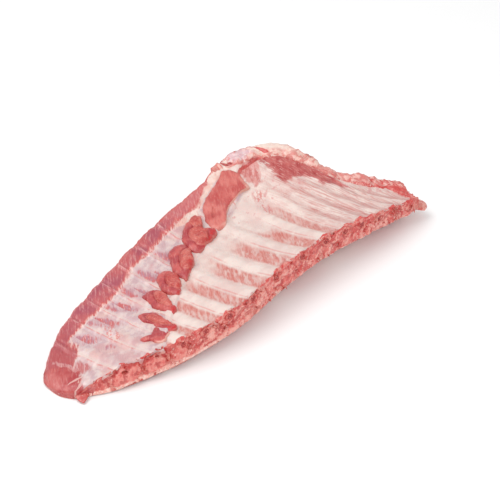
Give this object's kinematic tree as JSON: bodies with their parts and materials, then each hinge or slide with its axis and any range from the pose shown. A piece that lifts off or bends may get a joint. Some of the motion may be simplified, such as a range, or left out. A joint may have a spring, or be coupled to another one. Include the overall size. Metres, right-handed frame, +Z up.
{
  "type": "raw rack of pork spare ribs",
  "caption": "Whole raw rack of spare ribs lying bone side up: a bowed sheet of meat with rib bones, a trimmed breastbone rim, diaphragm stubs and a sawn edge.",
  "frame": {"origin": "middle of the bounding box's floor, under the rack", "axes": "+X along the rack from the flank tip to the neck end, +Y across it from the sawn edge to the breastbone rim, +Z up out of the bone side"},
  "size_m": [0.447, 0.1814, 0.0549],
  "materials": {
    "meat": "moist raw pork with fat and a thin shiny membrane",
    "bone": "sawn rib bone with red marrow"
  },
  "bodies": {
    "root": {"meat": "meat", "rib_bone_01": "bone", "rib_bone_02": "bone", "rib_bone_03": "bone", "rib_bone_04": "bone", "rib_bone_05": "bone", "rib_bone_06": "bone", "rib_bone_07": "bone", "rib_bone_08": "bone", "rib_bone_09": "bone", "rib_bone_10": "bone", "rib_bone_11": "bone", "rib_bone_12": "bone", "rib_bone_13": "bone", "rib_bone_14": "bone"}
  },
  "joints": []
}
